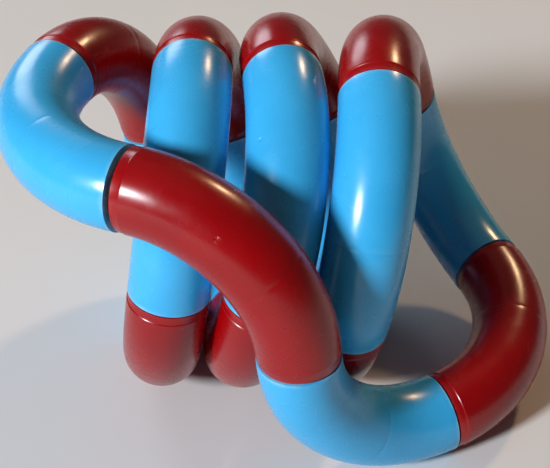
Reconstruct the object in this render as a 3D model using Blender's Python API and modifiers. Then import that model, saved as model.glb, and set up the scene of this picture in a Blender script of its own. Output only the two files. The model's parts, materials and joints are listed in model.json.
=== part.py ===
"""Closed chain of quarter-bend tubes that swivel on one another (a twisty snake puzzle).

Every tube is a plain quarter ring. A snap stud is fixed in one end and a socket collar in the
other, and each stud turns freely in the next tube's collar. The chain is modelled in one wound
pose: three coils side by side and a strand that comes back across their front.
"""
import math

import bmesh
import bpy
import numpy as np
from mathutils import Matrix, Vector

MM = 0.001

# ---- Tube -------------------------------------------------------------------------------
TUBE_RADIUS = 5.5 * MM
BEND_RADIUS = 21.0 * MM          # from the centre of the bend to the tube's centreline
WALL = 1.2 * MM
RIM_ROUND = 0.4 * MM             # rounding of both edges of each open end
TUBE_SIDES = 14
BEND_STEPS = 6

# ---- Joints -----------------------------------------------------------------------------
JOINT_GAP = 0.3 * MM             # between the end faces of neighbouring tubes
OPEN_JOINT_GAP = 0.75 * MM        # the same at the one joint that is left open
COIL_CLEARANCE = 0.35 * MM       # between tubes that lie side by side

# ---- Snap stud and socket collar --------------------------------------------------------
FIT_GAP = 0.3 * MM               # between an insert and the bore that it is pressed into
INSERT_INSET = 0.5 * MM          # from the tube's end face to the insert's face
INSERT_LENGTH = 2.4 * MM
SHAFT_RADIUS = 1.8 * MM
SWIVEL_CLEARANCE = 0.3 * MM      # between the stud and the collar, round it and behind it
BARB = 0.7 * MM                  # how far the head stands out over the collar's hole
HEAD_LENGTH = 2.2 * MM
TIP_RADIUS = 1.5 * MM
SLOT_WIDTH = 0.8 * MM
SLOT_DEPTH = 3.2 * MM
TURNED_STEPS = 12

# ---- Pose -------------------------------------------------------------------------------
# How far each tube is turned on the one before it, in whole degrees, from the open joint
# round to it again. Nought continues a flat ring, and 180 makes an S-bend.
TURNS = (132, -84, 75, -28, -22, 11, -34, 22, -38, 13, -27, 7, -22, 3, -15, -21, 85)
# The first tube's direction and the side it bends to, with the chain as it stands.
FIRST_TANGENT = Vector((0.91, -0.41, 0.04))
FIRST_SIDE = Vector((0.08, 0.08, -0.99))
HELD_TUBE = 9                    # the tube that the others are hung on, counted from nought
LOOP_TRIALS = 80                 # steps of trimming the turns until the loop closes clear
CLOSING_STEPS = 6                # last steps that bring the two ends exactly together

SEGMENTS = len(TURNS) + 1
RED = (0.42, 0.005, 0.008, 1.0)
BLUE = (0.05, 0.36, 0.74, 1.0)
NATURAL_ACETAL = (0.80, 0.80, 0.76, 1.0)
GREY_ACETAL = (0.30, 0.31, 0.32, 1.0)

# ---- Sizes that follow from the ones above ----------------------------------------------
BORE_RADIUS = TUBE_RADIUS - WALL
JOINT_REACH = BEND_RADIUS + JOINT_GAP / 2      # from a joint's centre to its tube's corner
INSERT_DEPTH = INSERT_INSET + INSERT_LENGTH    # of an insert's inner face in the tube
# The bore curves away from a straight insert by this much at the insert's inner face.
BEND_DRIFT = BEND_RADIUS - math.sqrt(BEND_RADIUS ** 2 - INSERT_DEPTH ** 2)
INSERT_RADIUS = BORE_RADIUS - BEND_DRIFT - FIT_GAP
COLLAR_BORE = SHAFT_RADIUS + SWIVEL_CLEARANCE
HEAD_RADIUS = COLLAR_BORE + BARB
HEAD_START = JOINT_GAP / 2 + INSERT_DEPTH + SWIVEL_CLEARANCE
HEAD_TIP = HEAD_START + HEAD_LENGTH
# The open joint's stud is slid back along its tube, so that its tip is behind the end face.
DRAW_BACK = (HEAD_TIP - JOINT_GAP / 2 + INSERT_INSET) / BEND_RADIUS


# ---- The chain's line -------------------------------------------------------------------
def turn_about(axis, angle):
    """A 3x3 turn about a unit axis, by Rodrigues' formula."""
    x, y, z = axis
    cross = np.array([[0, -z, y], [z, 0, -x], [-y, x, 0]])
    return np.eye(3) + math.sin(angle) * cross + (1 - math.cos(angle)) * cross @ cross


def follow_chain(turns):
    """Each tube's first joint centre and its axes: tangent, bend side and bend axis.

    A tube runs from its joint along the tangent and leaves along its bend side. One frame more
    than there are tubes: the last is where the next tube would start.
    """
    point = np.zeros(3)
    axes = np.eye(3)
    frames = [(point, axes)]
    for turn in list(turns) + [0.0]:
        tangent, side, bend_axis = axes.T
        point = point + JOINT_REACH * (tangent + side)
        axes = turn_about(side, turn) @ np.column_stack([side, -tangent, bend_axis])
        frames.append((point, axes))
    return frames


def centreline(frames, steps=12):
    """Points along every tube's centreline, as an array of tubes by points by 3."""
    bend = np.linspace(0, math.pi / 2, steps + 1)[:, None]
    lines = []
    for point, axes in frames[:SEGMENTS]:
        tangent, side, _ = axes.T
        lines.append(point + JOINT_REACH * (np.sin(bend) * tangent + (1 - np.cos(bend)) * side))
    return np.array(lines)


def closing_error(turns):
    """How far the last tube's end is from meeting the first tube's start: place and direction."""
    end, axes = follow_chain(turns)[-1]
    apart = end + (OPEN_JOINT_GAP - JOINT_GAP) * axes[:, 0]
    return np.concatenate([apart / BEND_RADIUS, axes[1:, 0]])


def crowding(turns):
    """How much closer than allowed each pair of tubes that aren't neighbours is."""
    lines = centreline(follow_chain(turns))
    steps = lines.shape[1]
    points = lines.reshape(-1, 3)
    squares = (points ** 2).sum(1)
    gaps = squares[:, None] + squares[None, :] - 2 * points @ points.T
    gaps = gaps.reshape(SEGMENTS, steps, SEGMENTS, steps).min(axis=(1, 3))
    first, second = np.triu_indices(SEGMENTS, 2)
    apart = (second - first) < SEGMENTS - 1
    nearest = np.sqrt(np.maximum(gaps[first[apart], second[apart]], 0.0))
    return np.maximum(2 * TUBE_RADIUS + COIL_CLEARANCE - nearest, 0.0) / TUBE_RADIUS


def slopes(function, turns, step=1e-6):
    """The change of each of the function's values with each turn."""
    start = function(turns)
    return np.column_stack([(function(turns + step * unit) - start) / step
                            for unit in np.eye(len(turns))])


def close_the_loop(turns):
    """Trim the turns so that the ends meet and tubes side by side stay clear of each other.

    Damped least squares: a trial that makes things worse is dropped and the next is shorter.
    """
    wanted = turns
    closing_weight, crowding_weight, nearness_weight = 30.0, 100.0, 0.1

    def faults(tried):
        return np.concatenate([closing_weight * closing_error(tried),
                               crowding_weight * crowding(tried),
                               nearness_weight * (tried - wanted)])

    fault = faults(turns)
    damping = 10.0
    for _ in range(LOOP_TRIALS):
        slope = slopes(faults, turns)
        normal = slope.T @ slope + damping * np.eye(len(turns))
        trial = turns - np.linalg.solve(normal, slope.T @ fault)
        trial_fault = faults(trial)
        if trial_fault @ trial_fault < fault @ fault:
            turns, fault, damping = trial, trial_fault, damping / 3
        else:
            damping *= 4
    for _ in range(CLOSING_STEPS):
        turns = turns - np.linalg.pinv(slopes(closing_error, turns)) @ closing_error(turns)
    return turns


# ---- Where the chain stands -------------------------------------------------------------
def resting_turn(points, centre):
    """The smallest turn that lays a body on the stable face of its hull nearest to its base.

    A face of the hull is stable when the centre of mass, dropped square onto the face's plane,
    lands inside the face.
    """
    hull = bmesh.new()
    for point in points:
        hull.verts.new(point)
    bmesh.ops.convex_hull(hull, input=hull.verts)
    bmesh.ops.triangulate(hull, faces=hull.faces)
    down = Vector((0, 0, -1))
    best, best_match = down, -1.0
    for face in hull.faces:
        corners = [vertex.co for vertex in face.verts]
        normal = (corners[1] - corners[0]).cross(corners[2] - corners[0]).normalized()
        if normal.dot(corners[0] - centre) < 0:
            normal.negate()
        foot = centre + normal * normal.dot(corners[0] - centre)
        sides = [(corners[i] - foot).cross(corners[i - 2] - foot).dot(normal) for i in range(3)]
        stable = min(sides) > 0 or max(sides) < 0
        if stable and normal.dot(down) > best_match:
            best, best_match = normal, normal.dot(down)
    hull.free()
    return best.rotation_difference(down).to_matrix().to_4x4()


def stand_chain(tube_points):
    """Each tube's 4x4 place, with the chain at rest on the ground and centred on the origin."""
    tangent = FIRST_TANGENT.normalized()
    side = (FIRST_SIDE - tangent * FIRST_SIDE.dot(tangent)).normalized()
    stance = Matrix((tangent, side, tangent.cross(side))).transposed().to_4x4()
    frames = follow_chain(close_the_loop(np.radians(TURNS)))
    places = []
    for point, axes in frames[:SEGMENTS]:
        place = Matrix(axes.tolist()).to_4x4()
        place.translation = point
        places.append(stance @ place)

    middle = Matrix(stance) @ Vector(centreline(frames).reshape(-1, 3).mean(axis=0))
    points = [place @ point for place in places for point in tube_points]
    settle = resting_turn(points, middle)
    settled = np.array([settle @ point for point in points])
    low, high = settled.min(axis=0), settled.max(axis=0)
    base = Vector(((low[0] + high[0]) / 2, (low[1] + high[1]) / 2, low[2]))
    return [Matrix.Translation(-base) @ settle @ place for place in places]


# ---- Blender helpers --------------------------------------------------------------------
def clear_scene():
    for old in list(bpy.data.objects):
        bpy.data.objects.remove(old, do_unlink=True)


def plastic(name, colour, roughness):
    material = bpy.data.materials.new(name)
    material.use_nodes = True
    shader = material.node_tree.nodes["Principled BSDF"]
    shader.inputs["Base Color"].default_value = colour
    shader.inputs["Roughness"].default_value = roughness
    shader.inputs["Metallic"].default_value = 0.0
    return material


def outline_object(name, points, collection, closed):
    """A loose outline of edges, ready for a Screw modifier."""
    mesh = bpy.data.meshes.new(name)
    edges = [(i, i + 1) for i in range(len(points) - 1)]
    if closed:
        edges.append((len(points) - 1, 0))
    mesh.from_pydata(points, edges, [])
    outline = bpy.data.objects.new(name, mesh)
    collection.objects.link(outline)
    return outline


def add_screw(outline, angle, steps):
    screw = outline.modifiers.new("Screw", "SCREW")
    screw.angle = angle
    screw.steps = screw.render_steps = steps
    screw.use_merge_vertices = True
    screw.merge_threshold = 0.001 * MM
    return screw


def finished_mesh(pattern, name, sharp_angle):
    """The pattern's mesh with its modifiers applied, shaded smooth; the pattern is removed."""
    graph = bpy.context.evaluated_depsgraph_get()
    mesh = bpy.data.meshes.new_from_object(pattern.evaluated_get(graph))
    mesh.name = name
    bpy.data.objects.remove(pattern, do_unlink=True)
    mesh.shade_smooth()
    mesh.set_sharp_from_angle(angle=sharp_angle)
    return mesh


# ---- Pieces -----------------------------------------------------------------------------
def tube_mesh(collection):
    """A quarter ring of open tube. Its first joint is at the origin, with the tangent along +X
    and the bend towards +Y.
    """
    profile = []
    for side in range(TUBE_SIDES):
        angle = -2 * math.pi * side / TUBE_SIDES
        profile.append((BEND_RADIUS + TUBE_RADIUS * math.cos(angle), 0,
                        TUBE_RADIUS * math.sin(angle)))
    tube = outline_object("tube_pattern", profile, collection, closed=True)
    add_screw(tube, math.pi / 2, BEND_STEPS)

    wall = tube.modifiers.new("Wall", "SOLIDIFY")
    wall.thickness = WALL
    wall.offset = -1
    wall.use_even_offset = True

    rims = tube.modifiers.new("Rims", "BEVEL")
    rims.width = min(RIM_ROUND, WALL / 3)
    rims.segments = 1
    rims.limit_method = "ANGLE"
    rims.angle_limit = math.radians(60)

    mesh = finished_mesh(tube, "quarter_tube", math.radians(50))
    # The screw turns about the bend's centre, from its +X side towards +Y.
    mesh.transform(Matrix.Translation((JOINT_GAP / 2, BEND_RADIUS, 0))
                   @ Matrix.Rotation(-math.pi / 2, 4, "Z"))
    return mesh


def turned_profile(points, name, collection, closed):
    """A body turned about the joint's axis, which is the outline's Z axis."""
    outline = outline_object(name, [(radius, 0, height) for radius, height in points],
                             collection, closed)
    add_screw(outline, 2 * math.pi, TURNED_STEPS)
    return outline


def stud_mesh(collection, cutters):
    """A stud on the joint's centre. It is pressed into the tube behind (-Z) and snaps into the
    collar of the tube in front (+Z).
    """
    plug_top = -JOINT_GAP / 2 - INSERT_INSET
    plug_bottom = -JOINT_GAP / 2 - INSERT_DEPTH
    barb_end = HEAD_START + HEAD_LENGTH / 3
    stud = turned_profile([(0, HEAD_TIP), (TIP_RADIUS, HEAD_TIP), (HEAD_RADIUS, barb_end),
                           (HEAD_RADIUS, HEAD_START), (SHAFT_RADIUS, HEAD_START),
                           (SHAFT_RADIUS, plug_top), (INSERT_RADIUS, plug_top),
                           (INSERT_RADIUS, plug_bottom), (0, plug_bottom)],
                          "stud_pattern", collection, closed=False)

    cutter = bmesh.new()
    bmesh.ops.create_cube(cutter, size=1)
    bmesh.ops.scale(cutter, verts=cutter.verts,
                    vec=(SLOT_WIDTH, 4 * HEAD_RADIUS, 2 * SLOT_DEPTH))
    bmesh.ops.translate(cutter, verts=cutter.verts, vec=(0, 0, HEAD_TIP))
    slot_mesh = bpy.data.meshes.new("stud_slot")
    cutter.to_mesh(slot_mesh)
    cutter.free()
    slot = bpy.data.objects.new("stud_slot", slot_mesh)
    slot.hide_render = True
    slot.display_type = "WIRE"
    cutters.objects.link(slot)

    cut = stud.modifiers.new("Slot", "BOOLEAN")
    cut.operation = "DIFFERENCE"
    cut.solver = "EXACT"
    cut.object = slot
    mesh = finished_mesh(stud, "snap_stud", math.radians(35))
    bpy.data.objects.remove(slot, do_unlink=True)
    return mesh


def collar_mesh(collection):
    """A ring just inside the tube in front of the joint, round the stud's shaft."""
    face = JOINT_GAP / 2 + INSERT_INSET
    back = JOINT_GAP / 2 + INSERT_DEPTH
    collar = turned_profile([(INSERT_RADIUS, back), (INSERT_RADIUS, face), (COLLAR_BORE, face),
                             (COLLAR_BORE, back)], "collar_pattern", collection, closed=True)
    return finished_mesh(collar, "socket_collar", math.radians(35))


def place_piece(name, mesh, material, place, pivot, collection):
    """A named copy of a mesh at a place, hung on its tube's pivot."""
    piece = bpy.data.objects.new(name, mesh)
    collection.objects.link(piece)
    piece.parent = pivot
    piece.matrix_world = place
    if not mesh.materials:
        mesh.materials.append(None)
    piece.material_slots[0].link = "OBJECT"
    piece.material_slots[0].material = material
    return piece


# ---- The puzzle -------------------------------------------------------------------------
def main():
    clear_scene()
    puzzle = bpy.data.collections.new("twisty_snake_puzzle")
    cutters = bpy.data.collections.new("cutters")
    for collection in (puzzle, cutters):
        bpy.context.scene.collection.children.link(collection)

    red = plastic("red_abs", RED, 0.18)
    blue = plastic("blue_abs", BLUE, 0.18)
    stud_plastic = plastic("natural_acetal", NATURAL_ACETAL, 0.4)
    collar_plastic = plastic("grey_acetal", GREY_ACETAL, 0.4)
    tube, stud, collar = tube_mesh(puzzle), stud_mesh(puzzle, cutters), collar_mesh(puzzle)

    # A tube's frame has the tangent along +X; a joint's frame has its axis along +Z.
    joint_axes = Matrix(((0, 0, 1), (1, 0, 0), (0, 1, 0))).to_4x4()
    corner = Vector((JOINT_REACH, JOINT_REACH, 0))
    bend_centre = Matrix.Translation((JOINT_GAP / 2, BEND_RADIUS, 0))
    places = stand_chain([vertex.co.copy() for vertex in tube.vertices])

    pivots = []
    for number, place in enumerate(places):
        end = place @ Matrix.Translation(corner) @ Matrix.Rotation(math.pi / 2, 4, "Z")
        near_end = number < HELD_TUBE
        pivot = bpy.data.objects.new(f"swivel_{number + 1:02d}", None)
        pivot.empty_display_size = TUBE_RADIUS
        pivot.matrix_world = (end if near_end else place) @ joint_axes
        puzzle.objects.link(pivot)
        pivots.append(pivot)
        bpy.context.view_layer.update()

        stud_place = end
        if number == SEGMENTS - 1:
            slide = bend_centre @ Matrix.Rotation(-DRAW_BACK, 4, "Z") @ bend_centre.inverted()
            stud_place = place @ slide @ place.inverted() @ end
        colour, shade = ("blue", blue) if number % 2 else ("red", red)
        label = f"{number + 1:02d}"
        place_piece(f"tube_{label}_{colour}", tube, shade, place, pivot, puzzle)
        place_piece(f"snap_stud_{label}", stud, stud_plastic, stud_place @ joint_axes, pivot, puzzle)
        place_piece(f"socket_collar_{label}", collar, collar_plastic, place @ joint_axes, pivot,
                    puzzle)


main()
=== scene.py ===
# %% [markdown]
# # A twisty snake puzzle, made to be seen
# The toy is a closed chain of eighteen hollow plastic tubes, each a quarter of a ring, red and
# sky blue by turns. Every tube can swivel on the next, about the tube's own axis where they
# meet. The frame holds the working model: where each tube is, and the axis of each swivel.
# This script puts a finely modelled piece in the place of each plain one, gives it the finish
# of moulded plastic, and lights it.

# %% Load the frame
import json
import math

import bpy
from mathutils import Matrix, Vector

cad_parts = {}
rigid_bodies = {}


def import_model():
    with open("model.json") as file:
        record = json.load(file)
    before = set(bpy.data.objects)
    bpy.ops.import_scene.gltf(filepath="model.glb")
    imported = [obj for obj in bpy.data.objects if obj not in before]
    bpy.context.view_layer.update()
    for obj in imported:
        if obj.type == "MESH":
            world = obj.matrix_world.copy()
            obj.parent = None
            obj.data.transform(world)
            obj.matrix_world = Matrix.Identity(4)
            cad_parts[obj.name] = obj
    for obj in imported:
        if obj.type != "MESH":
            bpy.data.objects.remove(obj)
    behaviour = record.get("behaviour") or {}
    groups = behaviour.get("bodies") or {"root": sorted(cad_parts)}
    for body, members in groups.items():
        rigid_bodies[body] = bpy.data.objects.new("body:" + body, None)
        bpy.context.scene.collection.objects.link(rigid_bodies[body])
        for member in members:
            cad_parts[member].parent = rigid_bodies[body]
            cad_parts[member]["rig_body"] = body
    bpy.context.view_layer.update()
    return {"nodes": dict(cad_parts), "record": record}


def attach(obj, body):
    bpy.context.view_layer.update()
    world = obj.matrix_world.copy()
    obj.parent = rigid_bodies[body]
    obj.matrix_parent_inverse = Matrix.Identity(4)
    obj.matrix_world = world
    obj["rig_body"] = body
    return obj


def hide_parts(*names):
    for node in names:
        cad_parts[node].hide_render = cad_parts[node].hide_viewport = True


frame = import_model()
nodes = frame["nodes"]
joints = frame["record"]["behaviour"]["joints"]

# %% [markdown]
# ## Sizes
# A few sizes drive every piece, and they are the working model's. Blender's unit is the metre,
# so MM turns millimetres into metres. The tube is 11 mm thick and bends on a 21 mm radius,
# and its end faces stand 0.15 mm back from the joint's middle.

# %% Driving sizes
MM = 0.001
TUBE_RADIUS = 5.5 * MM
BEND_RADIUS = 21.0 * MM
WALL = 1.2 * MM
JOINT_GAP = 0.3 * MM
QUARTER = math.pi / 2
WELD = 0.001 * MM                # corners closer than this are merged into one

TUBE_SIDES = 72                  # faces round the tube: flats too short to see
BEND_STEPS = 44                  # faces along the tube, besides those of its ends
bend_centre = Vector((JOINT_GAP / 2, BEND_RADIUS, 0))
print(f"flats {2 * math.pi * TUBE_RADIUS / TUBE_SIDES / MM:.2f} mm round the tube, "
      f"{QUARTER * BEND_RADIUS / BEND_STEPS / MM:.2f} mm along it")

# %% [markdown]
# ## Where each tube goes
# A tube is modelled once, with its first joint at the origin, leaving along +X and bending
# towards +Y. To place a copy it takes three directions: the way the tube leaves its joint
# (tangent), the side it bends to, and the axis it bends about. The swivel's axis gives the
# tangent, apart from its sign. The middle of the plain tube's corners lies in the plane of
# the bend, so it gives the sign and the side. The first tube has only its far joint, so its
# directions are found from there.

# %% Find each tube's place
def middle_of(node):
    corners = [vertex.co for vertex in nodes[node].data.vertices]
    return sum(corners, Vector()) / len(corners)


def two_directions(joint, middle):
    """Along the swivel's axis towards the tube's middle, and square to it on the same side."""
    away = middle - Vector(joint["pos_m"])
    along = Vector(joint["axis"]).normalized()
    along *= math.copysign(1, away.dot(along))
    across = (away - along * away.dot(along)).normalized()
    return along, across


tube_nodes = sorted(name for name in nodes if name.startswith("tube_"))
swivels = {joint["name"]: joint for joint in joints}
reach = BEND_RADIUS + JOINT_GAP / 2
tube_places = []
for number, node in enumerate(tube_nodes, start=1):
    near = swivels.get(f"swivel_{number - 1:02d}_{number:02d}")
    far = swivels.get(f"swivel_{number:02d}_{number + 1:02d}")
    if near:
        tangent, side = two_directions(near, middle_of(node))
        start = Vector(near["pos_m"])
    else:
        back_along, back_across = two_directions(far, middle_of(node))
        tangent, side = -back_across, -back_along
        start = Vector(far["pos_m"]) - reach * (tangent + side)
    place = Matrix((tangent, side, tangent.cross(side))).transposed().to_4x4()
    place.translation = start
    tube_places.append(place)
print(f"{len(tube_places)} places, the first joint at {tube_places[0].translation[:]}")

# %% [markdown]
# ## Modelling by hand, in code
# Blender's own tools act on what is selected in edit mode. These helpers start a piece clean,
# pick its parts by a rule, work a modifier into its mesh and shade it smooth.

# %% Selecting and editing helpers
def deselect_all():
    if bpy.context.object and bpy.context.object.mode != "OBJECT":
        bpy.ops.object.mode_set(mode="OBJECT")
    bpy.ops.object.select_all(action="DESELECT")


def pick(piece, kind, rule):
    """In edit mode, select only the vertices, edges or faces whose middle keeps the rule."""
    bpy.ops.mesh.select_mode(type={"vertices": "VERT", "edges": "EDGE", "polygons": "FACE"}[kind])
    bpy.ops.mesh.select_all(action="DESELECT")
    bpy.ops.object.mode_set(mode="OBJECT")
    mesh = piece.data
    chosen = 0
    for element in getattr(mesh, kind):
        if kind == "vertices":
            middle = element.co
        elif kind == "edges":
            middle = sum((mesh.vertices[i].co for i in element.vertices), Vector()) / 2
        else:
            middle = element.center
        element.select = bool(rule(middle, element))
        chosen += element.select
    bpy.ops.object.mode_set(mode="EDIT")
    return chosen


def apply_modifier(piece, kind, **settings):
    modifier = piece.modifiers.new(kind.title(), kind)
    for name, value in settings.items():
        setattr(modifier, name, value)
    bpy.context.view_layer.objects.active = piece
    bpy.ops.object.modifier_apply(modifier=modifier.name)


def shade_smooth(piece, sharp_degrees):
    deselect_all()
    piece.select_set(True)
    bpy.context.view_layer.objects.active = piece
    bpy.ops.object.shade_smooth_by_angle(angle=math.radians(sharp_degrees))


# %% [markdown]
# ## The tube
# On the real toy the tube is one hollow moulding. Its body is a circle swept round a quarter
# turn, which the spin tool does, first with many equal steps. The last millimetres of each end
# then grow ring by ring: spin the open edge one small step further, and resize it about its own
# centre. A red tube has a narrow band let in at both ends, and a blue one runs plain to its edge.

# %% Sweep the tube's body and grow its ends
END_LENGTH = 1.2 * MM            # of each end that is grown ring by ring
BAND_WIDTH = 0.9 * MM            # of the band at the ends of a red tube
BAND_DEPTH = 0.12 * MM
SHOULDER = 0.16 * MM             # length of the rounded step down to the band
SAME_TURN = 1e-4                 # radians: edges this close round the bend are one ring
blue_end = [(0, TUBE_RADIUS)]
red_end = [(BAND_WIDTH + SHOULDER * (1 - step),
            TUBE_RADIUS - BAND_DEPTH * (3 - 2 * step) * step ** 2)
           for step in (0, 0.25, 0.5, 0.75, 1)]
red_end.append((0, TUBE_RADIUS - BAND_DEPTH))


def turn_of(point):
    """How far round the bend a point lies: nought at the first end face, a quarter at the last."""
    out = point - bend_centre
    return math.atan2(out.x, -out.y)


def spun_body(name):
    """A quarter ring of open surface, short of both end faces by END_LENGTH."""
    deselect_all()
    bpy.ops.mesh.primitive_circle_add(vertices=TUBE_SIDES, radius=TUBE_RADIUS,
                                      location=(JOINT_GAP / 2, 0, 0), rotation=(0, QUARTER, 0))
    body = bpy.context.object
    body.name = body.data.name = name
    bpy.ops.object.transform_apply(location=True, rotation=True, scale=True)
    end_turn = END_LENGTH / BEND_RADIUS
    bpy.ops.object.mode_set(mode="EDIT")
    bpy.ops.mesh.select_all(action="SELECT")
    bpy.ops.transform.rotate(value=-end_turn, orient_axis="Z", center_override=bend_centre)
    bpy.ops.mesh.spin(steps=BEND_STEPS, angle=-(QUARTER - 2 * end_turn), center=bend_centre,
                      axis=(0, 0, 1))
    return body


def grow_end(tube, rings, at_far_end):
    """Carry the open edge on round the bend. Each ring is (distance to the end face, radius)."""
    distance, radius = END_LENGTH, TUBE_RADIUS
    side = 1 if at_far_end else -1
    start = QUARTER - distance / BEND_RADIUS if at_far_end else distance / BEND_RADIUS
    pick(tube, "edges", lambda middle, edge: abs(turn_of(middle) - start) < SAME_TURN)
    for next_distance, next_radius in rings:
        step = side * (distance - next_distance) / BEND_RADIUS
        bpy.ops.mesh.spin(steps=1, angle=-step, center=bend_centre, axis=(0, 0, 1))
        distance = next_distance
        turn = QUARTER - distance / BEND_RADIUS if at_far_end else distance / BEND_RADIUS
        centre = bend_centre + BEND_RADIUS * Vector((math.sin(turn), -math.cos(turn), 0))
        factor = next_radius / radius
        bpy.ops.transform.resize(value=(factor, factor, factor), center_override=centre)
        radius = next_radius


# %% [markdown]
# Two marks of the moulding stay on every tube. A witness line runs round it a little past the
# middle, where the two cores that formed the bore met: one ring of edges, bevelled in two
# segments, with the middle one drawn in. The gate mark is the round scar where the plastic
# flowed in: one vertex, bevelled into a small disc, whose face is inset and sunk.

# %% Add the moulding marks, the wall and the rounded rims
WITNESS_STEP = 27                # which of the body's rings is the witness line
WITNESS_WIDTH = 0.12 * MM
WITNESS_DEPTH = 0.012 * MM
GATE_STEP = 16                   # which ring the gate mark is on
GATE_RADIUS = 0.42 * MM
GATE_DEPTH = 0.05 * MM
GATE_LEAN = math.radians(-55)    # round the tube, from the outside of the bend
RIM_ROUND = {"red": 0.32 * MM, "blue": 0.26 * MM}


def ring_turn(step):
    end_turn = END_LENGTH / BEND_RADIUS
    return end_turn + step * (QUARTER - 2 * end_turn) / BEND_STEPS


def add_witness_line(tube):
    turn = ring_turn(WITNESS_STEP)
    pick(tube, "edges", lambda middle, edge: abs(turn_of(middle) - turn) < SAME_TURN)
    bpy.ops.mesh.bevel(offset=WITNESS_WIDTH / 2, segments=2, affect="EDGES")
    pick(tube, "edges", lambda middle, edge: abs(turn_of(middle) - turn) < SAME_TURN)
    centre = bend_centre + BEND_RADIUS * Vector((math.sin(turn), -math.cos(turn), 0))
    factor = 1 - WITNESS_DEPTH / TUBE_RADIUS
    bpy.ops.transform.resize(value=(factor, factor, factor), center_override=centre)


def add_gate_mark(tube):
    turn = ring_turn(GATE_STEP)
    outward = Vector((math.sin(turn), -math.cos(turn), 0))
    spot = (bend_centre + (BEND_RADIUS + TUBE_RADIUS * math.cos(GATE_LEAN)) * outward
            + Vector((0, 0, TUBE_RADIUS * math.sin(GATE_LEAN))))
    tube.update_from_editmode()
    nearest = min(tube.data.vertices, key=lambda vertex: (vertex.co - spot).length).index
    pick(tube, "vertices", lambda co, vertex: vertex.index == nearest)
    bpy.ops.mesh.bevel(offset=GATE_RADIUS, segments=3, affect="VERTICES")
    bpy.ops.mesh.select_mode(type="FACE")
    bpy.ops.mesh.inset(thickness=GATE_DEPTH, depth=-GATE_DEPTH)


def tube_pattern(colour, rings):
    tube = spun_body(f"{colour}_tube_pattern")
    grow_end(tube, rings, at_far_end=False)
    grow_end(tube, rings, at_far_end=True)
    bpy.ops.mesh.select_all(action="SELECT")
    bpy.ops.mesh.remove_doubles(threshold=WELD)
    bpy.ops.mesh.normals_make_consistent(inside=False)
    add_witness_line(tube)
    add_gate_mark(tube)
    bpy.ops.object.mode_set(mode="OBJECT")
    apply_modifier(tube, "SOLIDIFY", thickness=WALL, offset=-1)
    apply_modifier(tube, "BEVEL", width=RIM_ROUND[colour], segments=4, limit_method="ANGLE",
                   angle_limit=math.radians(60))
    shade_smooth(tube, 50)
    return tube


tube_patterns = {"red": tube_pattern("red", red_end), "blue": tube_pattern("blue", blue_end)}
for colour, tube in tube_patterns.items():
    print(f"{colour} tube: {len(tube.data.polygons)} faces")

# %% [markdown]
# ## The snap stud
# A stud joins each tube to the next. Its plug is pressed into one tube, with shallow crush ribs
# round it, and its shaft passes through the next tube's collar and ends in a barbed head, slit
# so that it can be squeezed through. It is turned from one cylinder: the top face is inset to
# the shaft, drawn up, widened into the barb and narrowed to the tip, and a thin cube cuts the
# slit. The joint's middle is at nought and the axis is Z, with the next tube above.

# %% Turn and slit the stud
STUD_SIDES = 48
INSERT_INSET = 0.5 * MM          # from a tube's end face to the face of what is pressed in it
INSERT_LENGTH = 2.4 * MM
FIT_GAP = 0.3 * MM
SHAFT_RADIUS = 1.8 * MM
SWIVEL_CLEARANCE = 0.3 * MM
BARB = 0.7 * MM
HEAD_LENGTH = 2.2 * MM
TIP_RADIUS = 1.5 * MM
SLOT_WIDTH = 0.8 * MM
SLOT_DEPTH = 3.2 * MM
RIB_EVERY = 6                    # one rib for so many side faces
RIB_HEIGHT = 0.12 * MM
RIB_SLOPE = 0.05 * MM            # how far a rib's sides lean in
EDGE_ROUND = 0.1 * MM
BARREL = 1 / 3                   # of the head's length, before it narrows to the tip
insert_depth = INSERT_INSET + INSERT_LENGTH
bend_drift = BEND_RADIUS - math.sqrt(BEND_RADIUS ** 2 - insert_depth ** 2)
insert_radius = TUBE_RADIUS - WALL - bend_drift - FIT_GAP
collar_bore = SHAFT_RADIUS + SWIVEL_CLEARANCE
head_radius = collar_bore + BARB
head_start = JOINT_GAP / 2 + insert_depth + SWIVEL_CLEARANCE
head_tip = head_start + HEAD_LENGTH


def draw_face(stud, height, widen=1.0):
    """Draw the selected end face along the axis to a height, then widen or narrow it there."""
    bpy.ops.mesh.extrude_region_move()
    stud.update_from_editmode()
    now = max(vertex.co.z for vertex in stud.data.vertices if vertex.select)
    bpy.ops.transform.translate(value=(0, 0, height - now))
    bpy.ops.transform.resize(value=(widen, widen, 1), center_override=(0, 0, height))


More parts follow.
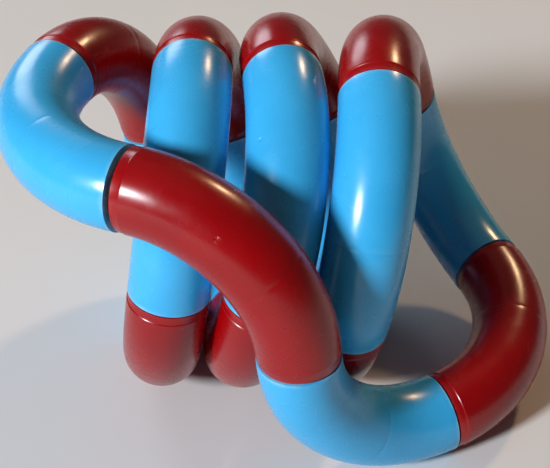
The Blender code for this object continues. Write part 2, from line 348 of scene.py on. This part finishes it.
def stud_pattern():
    plug_top = -JOINT_GAP / 2 - INSERT_INSET
    side_turn = 2 * math.pi / STUD_SIDES
    deselect_all()
    bpy.ops.mesh.primitive_cylinder_add(vertices=STUD_SIDES, radius=insert_radius,
                                        depth=INSERT_LENGTH,
                                        location=(0, 0, plug_top - INSERT_LENGTH / 2))
    stud = bpy.context.object
    stud.name = stud.data.name = "snap_stud_pattern"
    bpy.ops.object.transform_apply(location=True)
    bpy.ops.object.mode_set(mode="EDIT")
    ribs = pick(stud, "polygons", lambda middle, face: abs(face.normal.z) < 0.5
                and math.floor(math.atan2(middle.y, middle.x) / side_turn) % RIB_EVERY == 0)
    bpy.ops.mesh.inset(thickness=RIB_SLOPE, depth=RIB_HEIGHT, use_individual=True)
    pick(stud, "polygons", lambda middle, face: middle.z > plug_top - RIB_SLOPE / 4)
    bpy.ops.mesh.inset(thickness=insert_radius - SHAFT_RADIUS)
    draw_face(stud, head_start)
    draw_face(stud, head_start, head_radius / SHAFT_RADIUS)
    draw_face(stud, head_start + HEAD_LENGTH * BARREL)
    draw_face(stud, head_tip, TIP_RADIUS / head_radius)
    bpy.ops.mesh.select_all(action="SELECT")
    bpy.ops.mesh.remove_doubles(threshold=WELD)
    bpy.ops.object.mode_set(mode="OBJECT")
    apply_modifier(stud, "BEVEL", width=EDGE_ROUND, segments=2, limit_method="ANGLE",
                   angle_limit=math.radians(30))

    deselect_all()
    bpy.ops.mesh.primitive_cube_add(size=1, location=(0, 0, head_tip))
    slit = bpy.context.object
    slit.scale = (SLOT_WIDTH, 4 * head_radius, 2 * SLOT_DEPTH)
    bpy.ops.object.transform_apply(location=True, scale=True)
    apply_modifier(stud, "BOOLEAN", operation="DIFFERENCE", solver="EXACT", object=slit)
    bpy.data.objects.remove(slit, do_unlink=True)
    shade_smooth(stud, 35)
    print(f"snap stud with {ribs} crush ribs: {len(stud.data.polygons)} faces")
    return stud


stud_piece = stud_pattern()

# %% [markdown]
# ## The socket collar
# The collar is a ring pressed into the other end of each tube. The stud turns in its hole, whose
# edges are rounded to lead the barb in. It starts as a cylinder: both end faces are inset to the
# hole's size, deleted, and the two round edges that are left are bridged by the hole's wall.

# %% Make the collar
LEAD_IN = 0.25 * MM              # rounding of the hole's edges and of the outer ones


def collar_pattern():
    deselect_all()
    bpy.ops.mesh.primitive_cylinder_add(vertices=STUD_SIDES, radius=insert_radius,
                                        depth=INSERT_LENGTH,
                                        location=(0, 0, JOINT_GAP / 2 + INSERT_INSET
                                                  + INSERT_LENGTH / 2))
    collar = bpy.context.object
    collar.name = collar.data.name = "socket_collar_pattern"
    bpy.ops.object.transform_apply(location=True)
    bpy.ops.object.mode_set(mode="EDIT")
    pick(collar, "polygons", lambda middle, face: abs(face.normal.z) > 0.9)
    bpy.ops.mesh.inset(thickness=insert_radius - collar_bore, use_individual=True)
    bpy.ops.mesh.delete(type="FACE")
    pick(collar, "edges", lambda middle, edge: math.hypot(middle.x, middle.y) < collar_bore)
    bpy.ops.mesh.bridge_edge_loops()
    bpy.ops.mesh.select_all(action="SELECT")
    bpy.ops.mesh.normals_make_consistent(inside=False)
    bpy.ops.object.mode_set(mode="OBJECT")
    apply_modifier(collar, "BEVEL", width=LEAD_IN, segments=4, limit_method="ANGLE",
                   angle_limit=math.radians(60))
    shade_smooth(collar, 35)
    print(f"socket collar: {len(collar.data.polygons)} faces")
    return collar


collar_piece = collar_pattern()

# %% [markdown]
# ## A map along each tube
# Scratches and rub marks on a tube follow its length, so the tube carries a UV map in
# millimetres: U runs along the tube and V round it, with the seam on the inside of the bend,
# where it is hidden. The map is also kept as an attribute that tells how near an end is.

# %% Write the map
def map_tube(tube):
    layer = tube.data.uv_layers.new(name="along_and_round_mm")
    rims = tube.data.attributes.new("rim_distance_mm", "FLOAT", "POINT")
    for vertex in tube.data.vertices:
        along = turn_of(vertex.co)
        rims.data[vertex.index].value = min(along, QUARTER - along) * BEND_RADIUS / MM
    for face in tube.data.polygons:
        rounds = []
        for index in face.vertices:
            point = tube.data.vertices[index].co
            out = math.hypot(point.x - bend_centre.x, point.y - bend_centre.y) - BEND_RADIUS
            rounds.append(math.atan2(point.z, out))
        if max(rounds) - min(rounds) > math.pi:
            rounds = [angle + 2 * math.pi if angle < 0 else angle for angle in rounds]
        for loop, index, angle in zip(face.loop_indices, face.vertices, rounds):
            along = turn_of(tube.data.vertices[index].co) * BEND_RADIUS
            layer.data[loop].uv = (along / MM, angle * TUBE_RADIUS / MM)


for tube in tube_patterns.values():
    map_tube(tube)
print(f"tube map: {QUARTER * BEND_RADIUS / MM:.1f} mm along, "
      f"{2 * math.pi * TUBE_RADIUS / MM:.1f} mm round")

# %% [markdown]
# ## Finishes
# Colours are given as sRGB hex values and turned to linear. One helper adds a node, sets its
# values and links its inputs, so each finish reads as a short list.

# %% Colour and node helpers
def linear(hex_colour):
    channels = [int(hex_colour[i:i + 2], 16) / 255 for i in (1, 3, 5)]
    return [c / 12.92 if c <= 0.04045 else ((c + 0.055) / 1.055) ** 2.4 for c in channels] + [1]


def add_node(tree, kind, settings=None, **inputs):
    """A new node. Settings are its own options; inputs are values or another node's outputs."""
    node = tree.nodes.new(kind)
    for name, value in (settings or {}).items():
        setattr(node, name, value)
    for name, value in inputs.items():
        socket = node.inputs[int(name[1:])] if name[0] == "i" and name[1:].isdigit() \
            else node.inputs[name.replace("_", " ")]
        if isinstance(value, bpy.types.NodeSocket):
            tree.links.new(value, socket)
        else:
            socket.default_value = value
    return node


def new_material(name):
    material = bpy.data.materials.new(name)
    material.use_nodes = True
    tree = material.node_tree
    return material, tree, tree.nodes["Principled BSDF"]


def ramp(tree, factor, low, high, low_value=0.0, high_value=1.0):
    """Spread a band of a pattern's values over a wider range, and cut off what is outside."""
    node = add_node(tree, "ShaderNodeMapRange", None, Value=factor, From_Min=low, From_Max=high,
                    To_Min=low_value, To_Max=high_value)
    return node.outputs["Result"]


def per_mm(size_in_mm):
    """A pattern's scale on coordinates in metres, from the size of its features."""
    return 1 / (size_in_mm * MM)


# %% [markdown]
# ## Moulded ABS
# The tubes are gloss ABS, injection moulded in a polished mould. That gives the eye a deep,
# even colour under a clear reflection, slightly rippled like orange peel, with clouds where the
# pigment flowed unevenly. Handling adds a haze of finger grease, fine scratches along the tube,
# and a rubbed, paler line at the rims. ABS has an IOR of about 1.54.

# %% Make the moulded ABS
PEEL = 1.7                       # mm, the ripple of a moulded gloss surface
CLOUD = 9.0                      # mm, the size of the pigment's clouds
GREASE = 5.0                     # mm, the size of a finger's smear
SCRATCH_WIDTH = 0.22             # mm: real ones are finer, but would not show
SCRATCH_LENGTH = 7.0             # mm
RUB_WIDTH = 0.55                 # mm, how far the rubbed line reaches from an end face
CLEAN, HAZY = 0.22, 0.31         # roughness of clean gloss and of a finger's smear
SCRATCHED = 0.16                 # what a scratch adds to the roughness
RIPPLE = 0.05 * MM               # height of the peel in the bump


def moulded_abs(name, body_hex, deep_hex, rubbed_hex):
    material, tree, shader = new_material(name)
    where = add_node(tree, "ShaderNodeTexCoord").outputs
    clouds = add_node(tree, "ShaderNodeTexNoise", None, Vector=where["Object"],
                      Scale=per_mm(CLOUD), Detail=3.0, Roughness=0.55).outputs["Fac"]
    smears = add_node(tree, "ShaderNodeTexNoise", None, Vector=where["Object"],
                      Scale=per_mm(GREASE), Detail=5.0, Roughness=0.6,
                      Distortion=0.8).outputs["Fac"]
    peel = add_node(tree, "ShaderNodeTexNoise", None, Vector=where["Object"],
                    Scale=per_mm(PEEL), Detail=1.0).outputs["Fac"]
    stretched = add_node(tree, "ShaderNodeMapping", None, Vector=where["UV"],
                         Scale=(1 / SCRATCH_LENGTH, 1 / SCRATCH_WIDTH, 1)).outputs["Vector"]
    streaks = add_node(tree, "ShaderNodeTexNoise", None, Vector=stretched, Scale=1.0,
                       Detail=2.0, Roughness=0.7).outputs["Fac"]
    scratches = ramp(tree, streaks, 0.70, 0.78)

    rim = add_node(tree, "ShaderNodeAttribute", {"attribute_name": "rim_distance_mm"})
    near_rim = ramp(tree, rim.outputs["Fac"], 0.05, RUB_WIDTH, 1.0, 0.0)
    rubbed = add_node(tree, "ShaderNodeMath", {"operation": "MULTIPLY"}, i0=near_rim,
                      i1=ramp(tree, smears, 0.38, 0.60)).outputs["Value"]

    body = add_node(tree, "ShaderNodeMix", {"data_type": "RGBA"}, Factor=ramp(tree, clouds, 0.3, 0.7),
                    i6=linear(deep_hex), i7=linear(body_hex)).outputs[2]
    coloured = add_node(tree, "ShaderNodeMix", {"data_type": "RGBA"}, i6=body,
                        i7=linear(rubbed_hex),
                        Factor=ramp(tree, rubbed, 0.0, 1.0, 0.0, 0.55)).outputs[2]

    haze = ramp(tree, smears, 0.35, 0.70, CLEAN, HAZY)
    rough = add_node(tree, "ShaderNodeMath", {"operation": "MULTIPLY_ADD"}, i0=scratches,
                     i1=SCRATCHED, i2=haze).outputs["Value"]
    height = add_node(tree, "ShaderNodeMath", {"operation": "MULTIPLY_ADD"}, i0=scratches,
                      i1=-0.25, i2=peel).outputs["Value"]
    bump = add_node(tree, "ShaderNodeBump", None, Strength=0.16, Distance=RIPPLE,
                    Height=height).outputs["Normal"]
    tree.links.new(coloured, shader.inputs["Base Color"])
    tree.links.new(rough, shader.inputs["Roughness"])
    tree.links.new(bump, shader.inputs["Normal"])
    shader.inputs["IOR"].default_value = 1.54
    shader.inputs["Metallic"].default_value = 0.0
    return material


tube_finishes = {
    "red": moulded_abs("moulded_gloss_abs_red", "#9C0006", "#8C0005", "#B4262C"),
    "blue": moulded_abs("moulded_gloss_abs_sky_blue", "#3EB4EC", "#35AAE2", "#9AD3EE"),
}
print("finishes:", ", ".join(material.name for material in tube_finishes.values()))

# %% [markdown]
# ## Moulded acetal
# Studs and collars of swivel toys are acetal, which is slippery and springy. Natural acetal is
# milk white and a little waxy, and the collar's is dyed grey. Both are satin, because their
# moulds are only sanded: the grain shows as a fine, uneven sheen. Acetal has an IOR of 1.48.

# %% Make the moulded acetal
SAND_GRAIN = 0.35                # mm, coarser than the real grain so that it shows
SWIRL = 2.5                      # mm, the size of the melt's pale swirls
GRAIN_HEIGHT = 0.02 * MM


def moulded_acetal(name, light_hex, dark_hex):
    material, tree, shader = new_material(name)
    where = add_node(tree, "ShaderNodeTexCoord").outputs["Object"]
    clouds = add_node(tree, "ShaderNodeTexNoise", None, Vector=where, Scale=per_mm(SWIRL),
                      Detail=4.0).outputs["Fac"]
    grain = add_node(tree, "ShaderNodeTexNoise", None, Vector=where, Scale=per_mm(SAND_GRAIN),
                     Detail=2.0).outputs["Fac"]
    colour = add_node(tree, "ShaderNodeMix", {"data_type": "RGBA"},
                      Factor=ramp(tree, clouds, 0.35, 0.65), i6=linear(dark_hex),
                      i7=linear(light_hex)).outputs[2]
    tree.links.new(colour, shader.inputs["Base Color"])
    tree.links.new(ramp(tree, grain, 0.3, 0.7, 0.36, 0.5), shader.inputs["Roughness"])
    bump = add_node(tree, "ShaderNodeBump", None, Strength=0.2, Distance=GRAIN_HEIGHT,
                    Height=grain).outputs["Normal"]
    tree.links.new(bump, shader.inputs["Normal"])
    shader.inputs["IOR"].default_value = 1.48
    shader.inputs["Metallic"].default_value = 0.0
    return material


natural_acetal = moulded_acetal("moulded_natural_acetal", "#E9E6DA", "#DEDACB")
grey_acetal = moulded_acetal("moulded_grey_acetal", "#63676B", "#565A5E")
print("finishes:", natural_acetal.name, grey_acetal.name)

# %% [markdown]
# ## Put the chain together
# Each pattern is copied with a mesh of its own, the place is worked into that mesh, and the
# copy rides on its body in the frame. The stud sits at the tube's last joint and the collar at
# its first. The frame opens the closed loop between the last tube and the first, and the last
# stud is slid back round the bend so that those two ends can part.

# %% Place every piece
joint_axes = Matrix(((0, 0, 1), (1, 0, 0), (0, 1, 0))).to_4x4()
last_joint = (Matrix.Translation((reach, reach, 0)) @ Matrix.Rotation(QUARTER, 4, "Z"))
draw_back = (head_tip - JOINT_GAP / 2 + INSERT_INSET) / BEND_RADIUS
slide_back = (Matrix.Translation(bend_centre) @ Matrix.Rotation(-draw_back, 4, "Z")
              @ Matrix.Translation(-bend_centre))


def place_copy(pattern, name, place, node, material):
    piece = bpy.data.objects.new(name, pattern.data.copy())
    piece.data.name = name
    bpy.context.scene.collection.objects.link(piece)
    piece.data.transform(place)
    piece.data.materials.clear()
    piece.data.materials.append(material)
    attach(piece, nodes[node]["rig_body"])
    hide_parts(node)
    return piece


for number, (node, place) in enumerate(zip(tube_nodes, tube_places), start=1):
    colour = node.split("_")[-1]
    place_copy(tube_patterns[colour], f"moulded_{node}", place, node, tube_finishes[colour])
    stud_place = place @ last_joint @ joint_axes
    if number == len(tube_nodes):
        stud_place = place @ slide_back @ last_joint @ joint_axes
    place_copy(stud_piece, f"turned_stud_{number:02d}", stud_place, f"snap_stud_{number:02d}",
               natural_acetal)
    place_copy(collar_piece, f"turned_collar_{number:02d}", place @ joint_axes,
               f"socket_collar_{number:02d}", grey_acetal)

for pattern in (*tube_patterns.values(), stud_piece, collar_piece):
    bpy.data.objects.remove(pattern, do_unlink=True)

# %% [markdown]
# ## Floor, light and camera
# The chain stands on a plain pale floor. A cool window light comes from the front left and a
# weaker one from behind on the left, a small warm lamp from above on the right and behind, and a
# wide soft light overhead and a faint surround fill the rest. The camera looks down on the coils
# from the front, close enough for some perspective.

# %% Lay the floor
FLOOR_SIZE = 6.0
bpy.ops.mesh.primitive_plane_add(size=FLOOR_SIZE, location=(0, 0, 0))
floor = bpy.context.object
floor.name = "floor"
paint, tree, shader = new_material("pale_matt_paint")
speckle = add_node(tree, "ShaderNodeTexNoise", None,
                   Vector=add_node(tree, "ShaderNodeTexCoord").outputs["Object"],
                   Scale=per_mm(60.0), Detail=3.0).outputs["Fac"]
shade = add_node(tree, "ShaderNodeMix", {"data_type": "RGBA"}, Factor=speckle,
                 i6=linear("#DDDCD9"), i7=linear("#E3E2DF"))
tree.links.new(shade.outputs[2], shader.inputs["Base Color"])
shader.inputs["Roughness"].default_value = 0.9
floor.data.materials.append(paint)
print(f"floor {FLOOR_SIZE} m across")

# %% Set the lights
TARGET = Vector((0, 0, 0.026))


def soft_light(name, direction, distance, size, power, colour_hex):
    """A round panel that faces the chain. Distance and size are in metres, power in watts."""
    direction = Vector(direction).normalized()
    deselect_all()
    bpy.ops.object.light_add(type="AREA", location=TARGET + direction * distance)
    light = bpy.context.object
    light.name = name
    light.data.shape = "DISK"
    light.data.size = size
    light.data.energy = power
    light.data.color = linear(colour_hex)[:3]
    light.rotation_euler = direction.to_track_quat("Z", "Y").to_euler()
    return light


soft_light("window", (-0.68, -0.60, 0.48), distance=0.9, size=0.15, power=10.0,
           colour_hex="#EEF3FA")
soft_light("back_window", (-0.38, 0.85, 0.36), distance=1.0, size=0.40, power=1.9,
           colour_hex="#EEF0FA")
soft_light("warm_lamp", (0.50, 0.63, 0.58), distance=0.9, size=0.08, power=2.2,
           colour_hex="#FFD2A0")
soft_light("overhead", (-0.15, 0.1, 1.0), distance=1.2, size=1.4, power=0.35,
           colour_hex="#FFFFFF")
world = bpy.data.worlds.new("studio")
world.use_nodes = True
surround = world.node_tree.nodes["Background"]
surround.inputs["Color"].default_value = linear("#F0F0EE")
surround.inputs["Strength"].default_value = 0.06
bpy.context.scene.world = world
bpy.context.scene.view_settings.view_transform = "Standard"

# %% Aim the camera
CAMERA_PLACE = Vector((-0.006, -0.155, 0.1373))
LOOK_DOWN = math.radians(36.1)
LOOK_RIGHT = math.radians(1.5)
ROLL = math.radians(-0.85)
FOCAL_LENGTH = 88.0              # mm, on a sensor 36 mm wide
bpy.ops.object.camera_add()
camera = bpy.context.object
camera.matrix_world = (Matrix.Translation(CAMERA_PLACE) @ Matrix.Rotation(-LOOK_RIGHT, 4, "Z")
                       @ Matrix.Rotation(QUARTER - LOOK_DOWN, 4, "X")
                       @ Matrix.Rotation(ROLL, 4, "Z"))
camera.data.lens = FOCAL_LENGTH
camera.data.sensor_width = 36.0
camera.data.clip_start = 0.01
camera.data.dof.use_dof = False
bpy.context.scene.camera = camera
print(f"camera {camera.location[:]} with a {FOCAL_LENGTH} mm lens")
